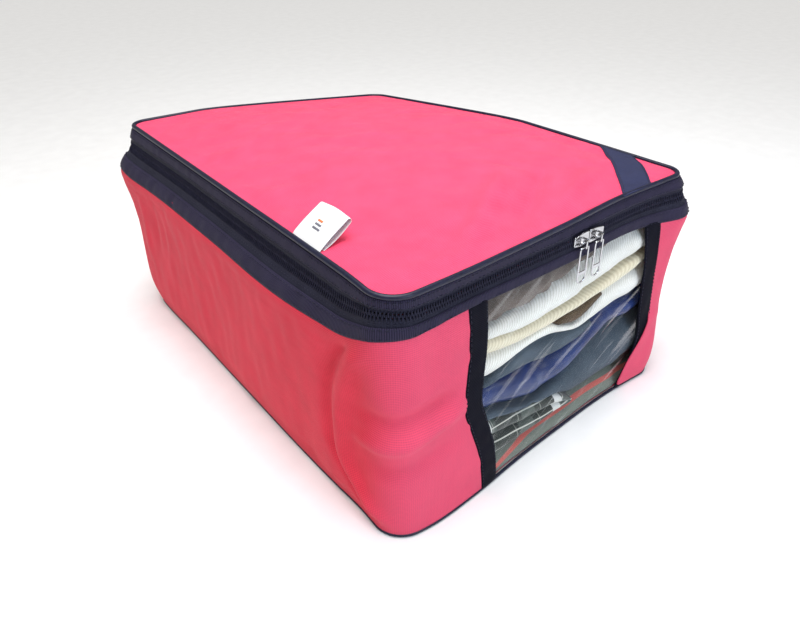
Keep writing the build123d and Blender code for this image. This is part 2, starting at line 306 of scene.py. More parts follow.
# ---------------------------------------------------------------- mesh helpers
def mesh(name, verts, faces, material, uv=None, outward=True):
    """A smooth mesh piece; outward turns its faces outwards."""
    data = bpy.data.meshes.new(name)
    data.from_pydata(np.asarray(verts, float).reshape(-1, 3).tolist(), [], [list(map(int, f)) for f in faces])
    if uv is not None:
        layer = data.uv_layers.new(name="flat")
        flat = np.asarray(uv, float).reshape(-1, 2)
        loops = np.array([l.vertex_index for l in data.loops])
        layer.data.foreach_set("uv", flat[loops].ravel())
    data.polygons.foreach_set("use_smooth", [True] * len(data.polygons))
    data.update()
    data.materials.append(material)
    piece = bpy.data.objects.new(name, data)
    bpy.context.scene.collection.objects.link(piece)
    if outward:
        turn_outward(piece)
    return piece


def turn_outward(piece, weld=None):
    """Turn the faces outwards, after joining the vertices closer than weld."""
    work = bmesh.new()
    work.from_mesh(piece.data)
    if weld:
        bmesh.ops.remove_doubles(work, verts=work.verts, dist=weld)
    bmesh.ops.recalc_face_normals(work, faces=work.faces)
    work.to_mesh(piece.data)
    work.free()


def grid_faces(rows, cols, wrap_rows=False, wrap_cols=False):
    faces = []
    for i in range(rows if wrap_rows else rows - 1):
        for j in range(cols if wrap_cols else cols - 1):
            a, b = i * cols + j, i * cols + (j + 1) % cols
            c, d = ((i + 1) % rows) * cols + (j + 1) % cols, ((i + 1) % rows) * cols + j
            faces.append((a, b, c, d))
    return faces


def modifier(piece, kind, **settings):
    made = piece.modifiers.new(kind.title(), kind)
    for key, value in settings.items():
        setattr(made, key, value)
    return made


def apply_modifiers(piece):
    bpy.context.view_layer.update()
    evaluated = piece.evaluated_get(bpy.context.evaluated_depsgraph_get())
    data = bpy.data.meshes.new_from_object(evaluated)
    piece.modifiers.clear()
    piece.data = data
    return piece


def thicken(piece, thickness, offset=0, finer=None):
    """Give a sheet its thickness; finer says whether it is subdivided before or after."""
    for step in ("before", None, "after"):
        if step is None:
            modifier(piece, "SOLIDIFY", thickness=thickness, offset=offset)
        elif step == finer:
            modifier(piece, "SUBSURF", levels=1, render_levels=1)
    return apply_modifiers(piece)


def flat_map(along, around):
    return np.stack(np.broadcast_arrays(along[:, None], around[None, :]), -1)


def measure(points):
    """The distance of each point along a line of points."""
    return np.concatenate([[0], np.cumsum(np.linalg.norm(np.diff(points, axis=0), axis=1))])


def loft(name, rows, along, around, material, closed=False):
    """A strip through rows of points with a closed section, capped unless it runs all the way round."""
    count, cols = rows.shape[:2]
    faces = grid_faces(count, cols, wrap_rows=closed, wrap_cols=True)
    if not closed:
        faces.append(tuple(range(cols)))
        faces.append(tuple(range((count - 1) * cols, count * cols))[::-1])
    return mesh(name, rows, faces, material, flat_map(along, around))


def round_band(name, height, lift, radius, count, material):
    """A round cord in a seam, all the way round the outline."""
    turn = np.linspace(0, 2 * math.pi, count, endpoint=False)
    section = np.stack([height + radius * np.sin(turn), lift + radius * np.cos(turn)], -1)
    rows = skin(RING[:, None], section[None, :, 0], section[None, :, 1])
    return loft(name, rows, RING, measure(section), material, True)


def tubes(points, radius, sides, up):
    """Many short round wires at once: points is (wires, steps, 3), up is a direction for each wire."""
    tangent = np.gradient(points, axis=1)
    tangent /= np.linalg.norm(tangent, axis=2, keepdims=True)
    side = np.cross(tangent, up[:, None, :])
    side /= np.linalg.norm(side, axis=2, keepdims=True)
    over = np.cross(side, tangent)
    turn = np.linspace(0, 2 * math.pi, sides, endpoint=False)[None, None, :, None]
    verts = points[:, :, None] + np.asarray(radius)[None, :, None, None] * (
        np.cos(turn) * side[:, :, None] + np.sin(turn) * over[:, :, None]
    )
    wires, rows = points.shape[:2]
    one = np.array(grid_faces(rows, sides, wrap_cols=True))
    ends = [list(range(sides))[::-1], list(range((rows - 1) * sides, rows * sides))]
    starts = np.arange(wires) * rows * sides
    faces = (one[None] + starts[:, None, None]).reshape(-1, 4).tolist()
    faces += [[i + k for i in end] for k in starts.tolist() for end in ends]
    return verts.reshape(-1, 3), faces


def wires(name, points, radius, sides, up, material):
    return mesh(name, *tubes(points, radius, sides, up), material)


def cut_size(points):
    """The mean lengths along the two directions of a grid of points."""
    down = np.linalg.norm(np.diff(points, axis=0), axis=-1).sum(0).mean()
    across = np.linalg.norm(np.diff(points, axis=1), axis=-1).sum(1).mean()
    return float(down), float(across)


def settle(piece, body, nodes=()):
    """Ride a body and stand for CAD nodes."""
    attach(piece, body)
    if nodes:
        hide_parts(*nodes)
    return piece


# ---------------------------------------------------------------- materials
class Nodes:
    """A short way to write a node tree."""

    def __init__(self, name):
        self.material = bpy.data.materials.new(name)
        self.material.use_nodes = True
        self.tree = self.material.node_tree
        self.tree.nodes.clear()
        self.out = self.add("ShaderNodeOutputMaterial")

    def add(self, kind, inputs=None, **settings):
        node = self.tree.nodes.new(kind)
        for key, value in settings.items():
            setattr(node, key, value)
        for key, value in (inputs or {}).items():
            self.set(node, key, value)
        return node

    def set(self, node, key, value):
        socket = node.inputs[key]
        if isinstance(value, bpy.types.NodeSocket):
            self.tree.links.new(value, socket)
        else:
            socket.default_value = value

    def math(self, operation, a, b):
        return self.add("ShaderNodeMath", {0: a, 1: b}, operation=operation).outputs[0]

    def plus(self, *values):
        return reduce(lambda a, b: self.math("ADD", a, b), values)

    def times(self, *values):
        return reduce(lambda a, b: self.math("MULTIPLY", a, b), values)

    def weigh(self, *pairs):
        """The sum of values, each times its weight."""
        return self.plus(*(self.times(*pair) for pair in pairs))

    def mix(self, factor, a, b):
        return self.add("ShaderNodeMix", {0: factor, 6: a, 7: b}, data_type="RGBA").outputs[2]

    def ramp(self, value, stops):
        node = self.add("ShaderNodeValToRGB", {0: value})
        for element, (at, colour) in zip(node.color_ramp.elements, stops):
            element.position = at
            element.color = colour
        return node.outputs[0]

    def soft_step(self, value, start, stop, low, high):
        """A smooth change from low to high while the value goes from start to stop."""
        inputs = {0: value, 1: start, 2: stop, 3: low, 4: high}
        return self.add("ShaderNodeMapRange", inputs, interpolation_type="SMOOTHSTEP").outputs[0]

    def flat(self):
        return self.add("ShaderNodeUVMap", uv_map="flat").outputs[0]

    def spot(self):
        return self.add("ShaderNodeTexCoord").outputs["Object"]

    def xyz(self):
        return self.add("ShaderNodeSeparateXYZ", {"Vector": self.spot()}).outputs

    def noise(self, scale, detail=3.0, rough=0.5, vector=None):
        inputs = {"Scale": scale, "Detail": detail, "Roughness": rough}
        inputs["Vector"] = vector if vector is not None else self.spot()
        return self.add("ShaderNodeTexNoise", inputs).outputs[0]

    def wave(self, pitch, vector, direction="X", distortion=0.0):
        inputs = {"Scale": math.pi / 10 / pitch, "Distortion": distortion, "Vector": vector}
        node = self.add("ShaderNodeTexWave", inputs, bands_direction=direction, wave_profile="SIN")
        return node.outputs[1]

    def bumped(self, height, strength, distance, normal=None):
        node = self.add("ShaderNodeBump", {"Strength": strength, "Distance": distance, "Height": height})
        if normal is not None:
            self.set(node, "Normal", normal)
        return node.outputs[0]

    def finish(self, colour, roughness, normal=None, **extra):
        inputs = {"Base Color": colour, "Roughness": roughness}
        if normal is not None:
            inputs["Normal"] = normal
        inputs |= {key.replace("_", " "): value for key, value in extra.items()}
        shader = self.add("ShaderNodeBsdfPrincipled", inputs)
        self.tree.links.new(shader.outputs[0], self.out.inputs[0])
        return self.material


def rgb(r, g, b):
    return (r, g, b, 1.0)


# The height of a fabric's threads, of its fluff, and of the grain of smooth plastic
THREAD_HEIGHT, FLUFF_HEIGHT, GRAIN_HEIGHT = 0.35 * MM, 0.7 * MM, 0.2 * MM


def woven(name, deep, bright, pitch, rough=0.72, bump=0.35, sheen=0.25, front=None):
    """Plain woven cloth: two crossed thread waves, with soft blotches; front is a paler pink mixed in at the
    front face, a painted highlight for the sheen of the light falling there.
    """
    n = Nodes(name)
    uv = n.flat()
    warp, weft = n.wave(pitch, uv, "X", 0.4), n.wave(pitch, uv, "Y", 0.4)
    cross = n.math("MAXIMUM", n.times(warp, n.plus(0.45, n.times(weft, 0.55))), n.times(weft, 0.8))
    blotch = n.noise(38, 4, 0.55)
    tone = n.weigh((cross, 0.45), (blotch, 0.35), (n.noise(900, 2, 0.6), 0.20))
    colour = n.ramp(tone, [(0.22, deep), (0.78, bright)])
    if front:
        # painted highlight: the colour turns towards the paler front pink along y, for the light's sheen on
        # the front face
        colour = n.mix(n.soft_step(n.xyz()[1], -0.215, -0.258, 0.0, 0.24), colour, front)
    normal = n.bumped(n.noise(140, 3, 0.6), 0.10, 0.6 * MM, n.bumped(cross, bump, THREAD_HEIGHT))
    roughness = n.plus(rough - 0.06, n.times(blotch, 0.12))
    return n.finish(
        colour, roughness, normal, Sheen_Weight=sheen, Sheen_Roughness=0.45, Specular_IOR_Level=0.25
    )


def webbing(name, deep, bright, pitch=1.4 * MM, shine=0.10):
    """Grosgrain: ribs across the tape, with a fine thread grain."""
    n = Nodes(name)
    uv = n.flat()
    ribs, grain = n.wave(pitch, uv, "X", 0.25), n.wave(pitch * 0.6, uv, "Y", 0.6)
    dust = n.noise(60, 4, 0.6)
    colour = n.ramp(n.weigh((ribs, 0.5), (grain, 0.18), (dust, 0.32)), [(0.2, deep), (0.85, bright)])
    normal = n.bumped(n.plus(ribs, n.times(grain, 0.35)), 0.45, 0.3 * MM)
    roughness = n.plus(0.52, n.times(dust, 0.2))
    return n.finish(
        colour, roughness, normal, Sheen_Weight=0.2 * shine, Sheen_Roughness=0.5, Specular_IOR_Level=shine
    )


def pile(name, deep, bright, rib=None, rough=0.9, fluff=0.5, slant=(1.0, 0.0), sheen=0.08):
    """Soft knitted or brushed pile, with ribs a set distance apart where the cloth has them."""
    n = Nodes(name)
    fuzz = height = n.noise(520, 4, 0.7)
    tone = n.weigh((fuzz, 0.5), (n.noise(26, 4, 0.6), 0.5))
    if rib:
        x, y, z = n.xyz()
        across = n.weigh((x, slant[0]), (z, slant[1]))
        ribs = n.wave(rib, n.add("ShaderNodeCombineXYZ", {"X": across, "Y": y}).outputs[0], "X", 1.0)
        tone = n.weigh((ribs, 0.35), (tone, 0.65))
        height = n.weigh((ribs, 0.8), (fuzz, 0.5))
    colour = n.ramp(tone, [(0.25, deep), (0.7, bright)])
    normal = n.bumped(height, fluff, 0.9 * MM)
    return n.finish(colour, rough, normal, Sheen_Weight=sheen, Sheen_Roughness=0.6, Specular_IOR_Level=0.12)


def satin(name, deep, bright):
    n = Nodes(name)
    colour = n.ramp(n.noise(30, 4, 0.6), [(0.3, deep), (0.75, bright)])
    return n.finish(colour, 0.30, n.bumped(n.noise(55, 2, 0.5), 0.35, 3 * MM), Specular_IOR_Level=0.5)


def brushed(n, colour, fuzz):
    """The finish of the two printed cloths."""
    normal = n.bumped(fuzz, 0.4, FLUFF_HEIGHT)
    return n.finish(colour, 0.85, normal, Sheen_Weight=0.3, Specular_IOR_Level=0.2)


def plaid(name):
    """Grey and green check with white lines, printed on the folded edges."""
    n = Nodes(name)
    x, y, z = n.xyz()

    def stripes(value, spacing, width, shift):
        cell = n.math("FRACT", n.plus(n.math("DIVIDE", value, spacing), shift), 0.0)
        return n.math("LESS_THAN", cell, width / spacing)

    sway = n.times(n.noise(14, 2, 0.5), 0.006)
    across = n.plus(x, n.times(z, 0.10), sway)
    down = n.plus(z, n.times(x, 0.10), n.times(y, 0.35), sway)
    base = n.mix(stripes(across, 0.054, 0.020, 0.45), rgb(0.020, 0.028, 0.026), rgb(0.075, 0.095, 0.085))
    base = n.mix(n.times(stripes(across, 0.100, 0.012, 0.76), 0.92), base, rgb(0.80, 0.80, 0.78))
    rules = n.times(stripes(across, 0.033, 0.0012, 0.9), 0.35)
    lines = n.math("MAXIMUM", stripes(down, 0.0098, 0.0012, 0.3), rules)
    colour = n.mix(n.times(lines, 0.85), base, rgb(0.72, 0.72, 0.66))
    fuzz = n.noise(500, 3, 0.7)
    return brushed(n, n.mix(n.times(fuzz, 0.25), colour, rgb(0.2, 0.2, 0.18)), fuzz)


def striped(name):
    """Grey-green cloth with one faded red stripe along its folded edge."""
    n = Nodes(name)
    x, _, z = n.xyz()
    level = n.soft_step(x, -0.075, 0.0, 0.008, 0.0165)
    height = n.plus(n.math("SUBTRACT", z, level), n.times(n.noise(9, 2, 0.5), 0.003))
    inside = n.times(n.math("GREATER_THAN", height, -0.0008), n.math("LESS_THAN", height, 0.0030))
    fuzz = n.noise(480, 3, 0.7)
    cloth = n.mix(fuzz, rgb(0.11, 0.13, 0.11), rgb(0.26, 0.28, 0.24))
    return brushed(n, n.mix(inside, cloth, rgb(0.58, 0.14, 0.12)), fuzz)


def clear_film(name):
    """Clear soft film: transparent, with long slanting streaks that shine."""
    n = Nodes(name)
    x, _, z = n.xyz()
    slanted = {"X": n.weigh((x, 8.0), (z, 5.5)), "Y": n.weigh((x, -42.0), (z, 66.0))}
    streaks = n.noise(1.0, 3, 0.55, n.add("ShaderNodeCombineXYZ", slanted).outputs[0])
    shiny = n.soft_step(streaks, 0.54, 0.68, 0.04, 1.5)
    normal = n.bumped(n.plus(n.noise(20, 3, 0.5), n.times(streaks, 0.6)), 0.35, 3 * MM)
    gloss = n.add("ShaderNodeBsdfGlossy", {"Color": rgb(1, 1, 1), "Roughness": 0.10, "Normal": normal})
    clear = n.add("ShaderNodeBsdfTransparent", {"Color": rgb(0.985, 0.99, 0.99)})
    facing = n.add("ShaderNodeFresnel", {"IOR": 1.45, "Normal": normal})
    front = n.math("SUBTRACT", 1.0, n.add("ShaderNodeNewGeometry").outputs["Backfacing"])
    haze = n.times(facing.outputs[0], shiny, front)
    mixed = n.add("ShaderNodeMixShader", {0: haze, 1: clear.outputs[0], 2: gloss.outputs[0]})
    n.tree.links.new(mixed.outputs[0], n.out.inputs[0])
    return n.material


def smooth_plastic(name, colour, bright, rough=0.5, bump=0.1, shine=0.5):
    n = Nodes(name)
    grain = n.noise(260, 4, 0.6)
    tone = n.ramp(grain, [(0.3, colour), (0.8, bright)])
    wear = n.plus(rough, n.times(n.noise(45, 4, 0.6), 0.18))
    return n.finish(tone, wear, n.bumped(grain, bump, GRAIN_HEIGHT), Specular_IOR_Level=shine)


def plated(name, dark, bright):
    n = Nodes(name)
    smear = n.noise(120, 4, 0.6)
    tone = n.ramp(smear, [(0.2, dark), (0.8, bright)])
    rough = n.plus(0.07, n.times(smear, 0.14))
    return n.finish(tone, rough, n.bumped(n.noise(700, 3, 0.6), 0.06, GRAIN_HEIGHT), Metallic=1.0)


CLOTH_PITCH = 1.5 * MM
# The front tint is a painted highlight: the front face's paler pink stands for the sheen of the light on it.
RED = woven(
    "red_cloth", rgb(0.52, 0.014, 0.034), rgb(0.84, 0.046, 0.088), CLOTH_PITCH, 0.74, 0.5, 0.05,
    front=rgb(0.85, 0.20, 0.42),
)
# The lid's copy of the red cloth is pinker and brighter than the walls': painted light standing for the
# strong light on the lid's top.
RED_LID_PAINTED_LIGHT = woven(
    "red_cloth_lid_painted_light", rgb(0.64, 0.028, 0.088), rgb(0.93, 0.084, 0.190), CLOTH_PITCH, 0.70, 0.5, 0.12
)
WHITE = woven("white_tape", rgb(0.70, 0.70, 0.71), rgb(0.90, 0.90, 0.91), 0.5 * MM, 0.5, 0.12, 0.15)
NAVY = webbing("navy_webbing", rgb(0.010, 0.008, 0.020), rgb(0.040, 0.034, 0.072))
NAVY_STRAP = webbing("navy_webbing_strap", rgb(0.016, 0.018, 0.045), rgb(0.042, 0.048, 0.110))
NAVY_UP = webbing("navy_webbing_upright", rgb(0.003, 0.003, 0.006), rgb(0.010, 0.010, 0.019), shine=0.03)
ZIP_CLOTH = webbing("zip_tape", rgb(0.008, 0.008, 0.016), rgb(0.030, 0.030, 0.055), 0.9 * MM)
COIL = smooth_plastic("zip_coil", rgb(0.010, 0.010, 0.021), rgb(0.024, 0.023, 0.046), shine=0.12)
PIPING = smooth_plastic(
    "navy_piping", rgb(0.007, 0.008, 0.020), rgb(0.017, 0.019, 0.050), 0.26, 0.06, 0.32
)
THREAD = smooth_plastic(
    "navy_thread", rgb(0.010, 0.010, 0.022), rgb(0.032, 0.032, 0.058), bump=0.2, shine=0.2
)
GREY_PRINT = smooth_plastic("grey_print", rgb(0.12, 0.12, 0.15), rgb(0.18, 0.18, 0.22))
ORANGE_PRINT = smooth_plastic("orange_print", rgb(0.75, 0.16, 0.05), rgb(0.85, 0.24, 0.08))
FILM = clear_film("clear_film")
CHROME = plated("chrome", rgb(0.42, 0.42, 0.44), rgb(0.66, 0.66, 0.68))
RIBBED = pile(
    "white_ribbed", rgb(0.70, 0.68, 0.61), rgb(0.93, 0.92, 0.88), 2.2 * MM, 0.92, 0.4, (0.75, -0.66), 0.3
)
CREAM = pile(
    "cream_pile", rgb(0.66, 0.58, 0.41), rgb(0.84, 0.77, 0.60), 2.6 * MM, 0.92, 0.2, (0.6, -0.8), 0.3
)
# A dark layer painted as the shade in the gap between the white fold and the cream blanket.
GAP_SHADE = pile("painted_gap_shade", rgb(0.012, 0.008, 0.005), rgb(0.16, 0.11, 0.07))
TAUPE = pile("taupe_pile", rgb(0.075, 0.057, 0.048), rgb(0.22, 0.185, 0.165), fluff=0.25)
SLATE = pile("slate_cloth", rgb(0.032, 0.046, 0.066), rgb(0.10, 0.130, 0.165), rough=0.75, fluff=0.3)
SATIN = satin("navy_satin", rgb(0.009, 0.022, 0.10), rgb(0.020, 0.046, 0.19))
PLAID = plaid("grey_plaid")
STRIPED = striped("striped_cloth")


# ---------------------------------------------------------------- red walls
def steps(a, b, size):
    return np.linspace(a, b, max(2, int(round(abs(b - a) / size)) + 1))


RING = steps(0, LENGTH, 4 * MM)[:-1]

# The window's tapes lean and wave: height, then the place of the tape's middle along the front
TAPE_HALF = 10 * MM
TAPE_LEFT = [
    (0.0, -0.076), (0.05, -0.083), (0.085, -0.093), (0.105, -0.099), (0.125, -0.0985), (0.155, -0.096),
    (0.205, -0.0985),
]
TAPE_RIGHT = [(0.0, 0.127), (0.03, 0.139), (0.06, 0.1475), (0.1, 0.142), (0.15, 0.1365), (0.205, 0.1285)]


def left_mid(z):
    return curve(TAPE_LEFT, z)


def right_mid(z):
    return curve(TAPE_RIGHT, z)


WALL_LOW, WALL_HIGH = 3.4 * MM, RIM_LOW + 4 * MM
WALL_CELL = 4 * MM
# How far from a wall's ends the window's line fades out, and the ripples fade in
LINE_FADE, RIPPLE_FADE = 0.05, 0.025
# Where each wall's grid ends at the window, along the front
LEFT_END, RIGHT_END = -0.098, 0.1365


def over_tape(z):
    """Where the right wall's edge laps over the window's tape."""
    return smooth((z - 0.003) / 0.006) * smooth((0.100 - z) / 0.070)


def wall(name, start, end, start_line, end_line, seed, tuck):
    """A red wall between two places, whose ends may follow the window's tapes."""
    z = steps(WALL_LOW, WALL_HIGH, WALL_CELL)
    s = steps(start, end, WALL_CELL)
    from_start, from_end = (s - start)[:, None], (end - s)[:, None]
    near_start, near_end = 1 - smooth(from_start / LINE_FADE), 1 - smooth(from_end / LINE_FADE)
    grid_s = s[:, None] + near_start * start_line(z)[None, :] + near_end * end_line(z)[None, :]
    grid_z = np.broadcast_to(z, grid_s.shape)
    inside = smooth((grid_z - 0.004) / 0.02) * smooth((RIM_LOW + 1 * MM - grid_z) / 0.02)
    inside = inside * smooth(from_start / RIPPLE_FADE) * smooth(from_end / RIPPLE_FADE)
    ripple = waves(grid_s, grid_z * 0.6, seed, 0.11) * 1.1 * MM * inside
    ripple += waves(grid_s * 1.6, grid_z * 0.5, seed + 1, 0.045) * 0.35 * MM * inside
    ripple += folds(grid_s, grid_z) * inside
    ripple += tuck * 2.9 * MM * smooth(over_tape(grid_z) * 5) * near_start
    grid_s = grid_s + tuck * (8.5 - 21.5 * over_tape(grid_z)) * MM * near_start
    points = skin(grid_s, grid_z, ripple)
    uv = np.stack([grid_s, grid_z], -1)
    piece = mesh(name, points, grid_faces(len(s), len(z)), RED, uv, False)
    return piece, len(s), len(z), cut_size(points)


def ridge(s, z, a, b, width, height):
    """A soft ridge or valley of cloth along the line from a to b, fading at its ends."""
    ax, az = a
    bx, bz = b
    length = math.hypot(bx - ax, bz - az)
    ux, uz = (bx - ax) / length, (bz - az) / length
    along = (s - ax) * ux + (z - az) * uz
    across = -(s - ax) * uz + (z - az) * ux
    fade = smooth(along / (0.3 * length)) * smooth((length - along) / (0.3 * length))
    return height * np.exp(-((across / width) ** 2)) * fade


def ridges(s, z, *lines):
    """Several ridges: each two ends, then its width and height in millimetres."""
    return sum(ridge(s, z, a, b, width * MM, height * MM) for a, b, width, height in lines)


# The long fold beside the front left corner, from the floor up to the rim
CORNER_FOLD = [
    (0.0, FRONT_LEFT), (0.014, place("left", -0.222)), (0.038, place("left", -0.199)),
    (0.06, place("left", -0.182)), (0.095, place("left", -0.179)), (0.134, place("left", -0.184)),
    (0.17, place("left", -0.198)), (0.20, place("left", -0.215)),
]
PUCKER, KINK = place("left", -0.205), FRONT_MID - 0.105
BACK_FOLDS, FAR_FOLD = place("left", 0.19), place("right", -0.20)
# The pucker from the long fold to the kink of the window's tape, the folds under the rim towards the back
# left, and single folds on the right side and the back
FOLDS = [
    ((PUCKER, 0.123), (KINK, 0.128), 9, -5.5),
    ((PUCKER - 0.01, 0.093), (KINK + 0.02, 0.118), 7, 5.5),
    ((PUCKER + 0.01, 0.072), (KINK, 0.085), 10, -3.0),
    ((BACK_FOLDS, 0.188), (BACK_FOLDS - 0.02, 0.07), 7, 2.2),
    ((BACK_FOLDS + 0.035, 0.188), (BACK_FOLDS + 0.007, 0.07), 8, -2.0),
    ((BACK_FOLDS + 0.075, 0.188), (BACK_FOLDS + 0.045, 0.07), 9, 1.6),
    ((BACK_FOLDS + 0.12, 0.188), (BACK_FOLDS + 0.09, 0.07), 10, -1.2),
    ((FAR_FOLD - 0.01, 0.185), (FAR_FOLD + 0.01, 0.04), 9, -2.0),
    ((place("back", -0.06), 0.18), (place("back", -0.12), 0.05), 10, 2.0),
    ((place("back", 0.10), 0.17), (place("back", 0.05), 0.04), 10, -2.0),
]


def folds(s, z):
    """The folds that the cloth shows at the corners, beside the window and under the rim."""
    off = s - curve(CORNER_FOLD, z)
    strength = smooth(z / 0.03) * smooth((0.205 - z) / 0.03)
    crest = 6.0 * MM * np.exp(-(((off - 0.015) / 0.010) ** 2))
    valley = 5.5 * MM * np.exp(-((off / 0.006) ** 2))
    return strength * (crest - valley) + ridges(s, z, *FOLDS)


CLOTH_CAP = 7 * MM


def settle_cloth(piece, hold, pressure, shrink, frames=18, stiff=12.0):
    """A short cloth run, applied with each move capped; hold gives each vertex's pin weight."""
    group = piece.vertex_groups.new(name="hold")
    for level in np.unique(np.round(hold, 2)):
        members = np.nonzero(np.round(hold, 2) == level)[0].tolist()
        if level > 0:
            group.add(members, float(level), "REPLACE")
    cloth = modifier(piece, "CLOTH")
    for key, value in {
        "quality": 6, "mass": 0.25, "tension_stiffness": stiff, "compression_stiffness": stiff,
        "shear_stiffness": stiff * 0.4, "bending_stiffness": 0.6, "tension_damping": 10, "air_damping": 5,
        "vertex_group_mass": "hold", "pin_stiffness": 1.0, "shrink_min": shrink,
        "use_pressure": pressure != 0, "uniform_pressure_force": pressure,
    }.items():
        setattr(cloth.settings, key, value)
    cloth.settings.effector_weights.gravity = 0.0
    cloth.collision_settings.use_collision = False
    cloth.point_cache.frame_start = 1
    cloth.point_cache.frame_end = frames + 1
    count = len(piece.data.vertices)
    before, after = np.empty(count * 3), np.empty(count * 3)
    piece.data.vertices.foreach_get("co", before)
    scene = bpy.context.scene
    for number in range(1, frames + 1):
        scene.frame_set(number)
    apply_modifiers(piece)
    scene.frame_set(1)
    piece.data.vertices.foreach_get("co", after)
    move = (after - before).reshape(-1, 3)
    length = np.linalg.norm(move, axis=1) + 1e-9
    move *= np.minimum(1, CLOTH_CAP * (1 - hold) / length)[:, None]
    piece.data.vertices.foreach_set("co", before + move.ravel())
    piece.data.update()
    piece.vertex_groups.clear()


def wall_hold(rows, cols, soft):
    """Pin weights: firm along every edge, and looser away from it."""
    row = np.minimum(np.arange(rows), np.arange(rows)[::-1])[:, None]
    col = np.minimum(np.arange(cols), np.arange(cols)[::-1])[None, :]
    firm = np.maximum(1 - smooth((row - 1) / 8), 1 - smooth((col - 1) / 4))
    return (soft + (1 - soft) * firm).ravel()


zero = np.zeros_like
for name, start, end, start_line, end_line, seed, tuck in (
    ("left", place("back"), FRONT_MID + LEFT_END, zero, lambda z: left_mid(z) - LEFT_END, 11, 0),
    ("right", FRONT_MID + RIGHT_END, LENGTH, lambda z: right_mid(z) - RIGHT_END, zero, 23, 1),
):
    piece, rows, cols, size = wall(f"wall_{name}", start, end, start_line, end_line, seed, tuck)
    settle_cloth(piece, wall_hold(rows, cols, 0.3), 0.5, -0.002)
    thicken(piece, 1.0 * MM, -1, "before")
    settle(piece, "bag_base", [f"side_wall_{name}"])


# ---------------------------------------------------------------- bottom and its piping
def border(u, v):
    """The distance s for a point on the border of the square from -1 to 1."""
    along = lambda a, b, t: a + (b - a) * (t + 1) / 2
    s = np.where(v >= 1 - 1e-9, along(BACK_RIGHT - LENGTH, BACK_LEFT, -u), 0.0)
    s = np.where(u <= -1 + 1e-9, along(BACK_LEFT, FRONT_LEFT, -v), s)
    s = np.where((u >= 1 - 1e-9) & (v < 1 - 1e-9), along(FRONT_RIGHT, BACK_RIGHT, v), s)
    s = np.where((v <= -1 + 1e-9) & (np.abs(u) < 1 - 1e-9), along(FRONT_LEFT, FRONT_RIGHT, u), s)
    return np.mod(s, LENGTH)


def sheet_grid(name, edge_at, shape, material, cell):
    """A sheet of four-sided cells inside the outline; edge_at gives the edge points for distances s."""
    nx, ny = int(2 * HALF_W / cell), int(2 * HALF_D / cell)
    u, v = np.meshgrid(np.linspace(-1, 1, nx + 1), np.linspace(-1, 1, ny + 1), indexing="ij")
    reach = np.maximum(np.maximum(np.abs(u), np.abs(v)), 1e-9)
    edge = edge_at(border(u / reach, v / reach))
    x, y = edge[..., 0] * reach, edge[..., 1] * reach
    z = shape(x, y, reach, edge[..., 2])
    rim = (np.abs(reach - 1) < 1e-9).ravel()
    faces = grid_faces(nx + 1, ny + 1)
    return mesh(name, np.stack([x, y, z], -1), faces, material, np.stack([x, y], -1), False), rim


def floor_shape(x, y, reach, edge_z):
    return 0.9 * MM + 0.4 * MM * np.abs(waves(x, y, 5, 0.12)) * (1 - reach)


bottom, _ = sheet_grid("bottom", lambda s: skin(s, 1.5 * MM, -3.4 * MM), floor_shape, RED, 12 * MM)
thicken(bottom, 1.2 * MM)
settle(bottom, "bag_base", ["bottom_panel"])

base_piping = round_band("base_piping", 2.2 * MM, 0.4 * MM, 1.5 * MM, 10, PIPING)
settle(base_piping, "bag_base", ["bottom_piping"])


# ---------------------------------------------------------------- window
def upright_tape(name, middle, low, high, lift, thick, puckers, seed):
    """An upright tape on the front, whose middle follows a line."""
    z = steps(low, high, 3 * MM)
    across = np.linspace(-1, 1, 9)
    s = FRONT_MID + middle(z)[:, None] + across[None, :] * TAPE_HALF
    grid_z = np.broadcast_to(z[:, None], s.shape)
    wobble = puckers * waves(s * 2, grid_z, seed, 0.03)
    top = skin(s, grid_z, lift + thick * (1 - 0.55 * np.abs(across) ** 6)[None, :] + wobble)
    under = skin(s, grid_z, lift + wobble)
    u = np.concatenate([across, across[::-1]]) * TAPE_HALF
    return loft(name, np.concatenate([top, under[:, ::-1]], axis=1), z, u, NAVY_UP)


for side_name, middle, seed in (("left", left_mid, 3), ("right", right_mid, 4)):
    piece = upright_tape(
        f"tape_{side_name}", middle, 3 * MM, RIM_LOW + 2 * MM, 0.5 * MM, 1.3 * MM, 0.25 * MM, seed
    )
    settle(piece, "bag_base", [f"window_tape_{side_name}"])

film_z = steps(3.2 * MM, RIM_LOW + 3 * MM, 3 * MM)
film_u = np.linspace(0, 1, 90)
film_x = left_mid(film_z)[:, None] * (1 - film_u) + right_mid(film_z)[:, None] * film_u
film_z = np.broadcast_to(film_z[:, None], film_x.shape)
tight = smooth((film_z - 0.004) / 0.02) * smooth((RIM_LOW + 1 * MM - film_z) / 0.015)
tight = np.minimum(tight, np.sin(np.pi * film_u)[None, :] ** 0.5)
wrinkle = waves(film_x, film_z, 31, 0.09) * 0.8 * MM + ridges(
    film_x,
    film_z,
    ((-0.045, 0.040), (0.085, 0.118), 2.2, 2.3),
    ((-0.010, 0.036), (0.120, 0.118), 5, -1.3),
    ((-0.075, 0.030), (0.050, 0.012), 4, 1.2),
    ((0.020, 0.045), (0.125, 0.100), 3, 1.5),
    ((-0.074, 0.105), (-0.020, 0.097), 2.4, 1.6),
    ((-0.072, 0.094), (-0.030, 0.080), 2.0, 1.4),
    ((-0.062, 0.086), (-0.045, 0.070), 2.2, 1.4),
    ((-0.070, 0.135), (0.010, 0.125), 4, 0.8),
    ((0.060, 0.020), (0.130, 0.060), 4, -1.1),
    ((0.085, 0.030), (0.128, 0.125), 2.5, 1.2),
)
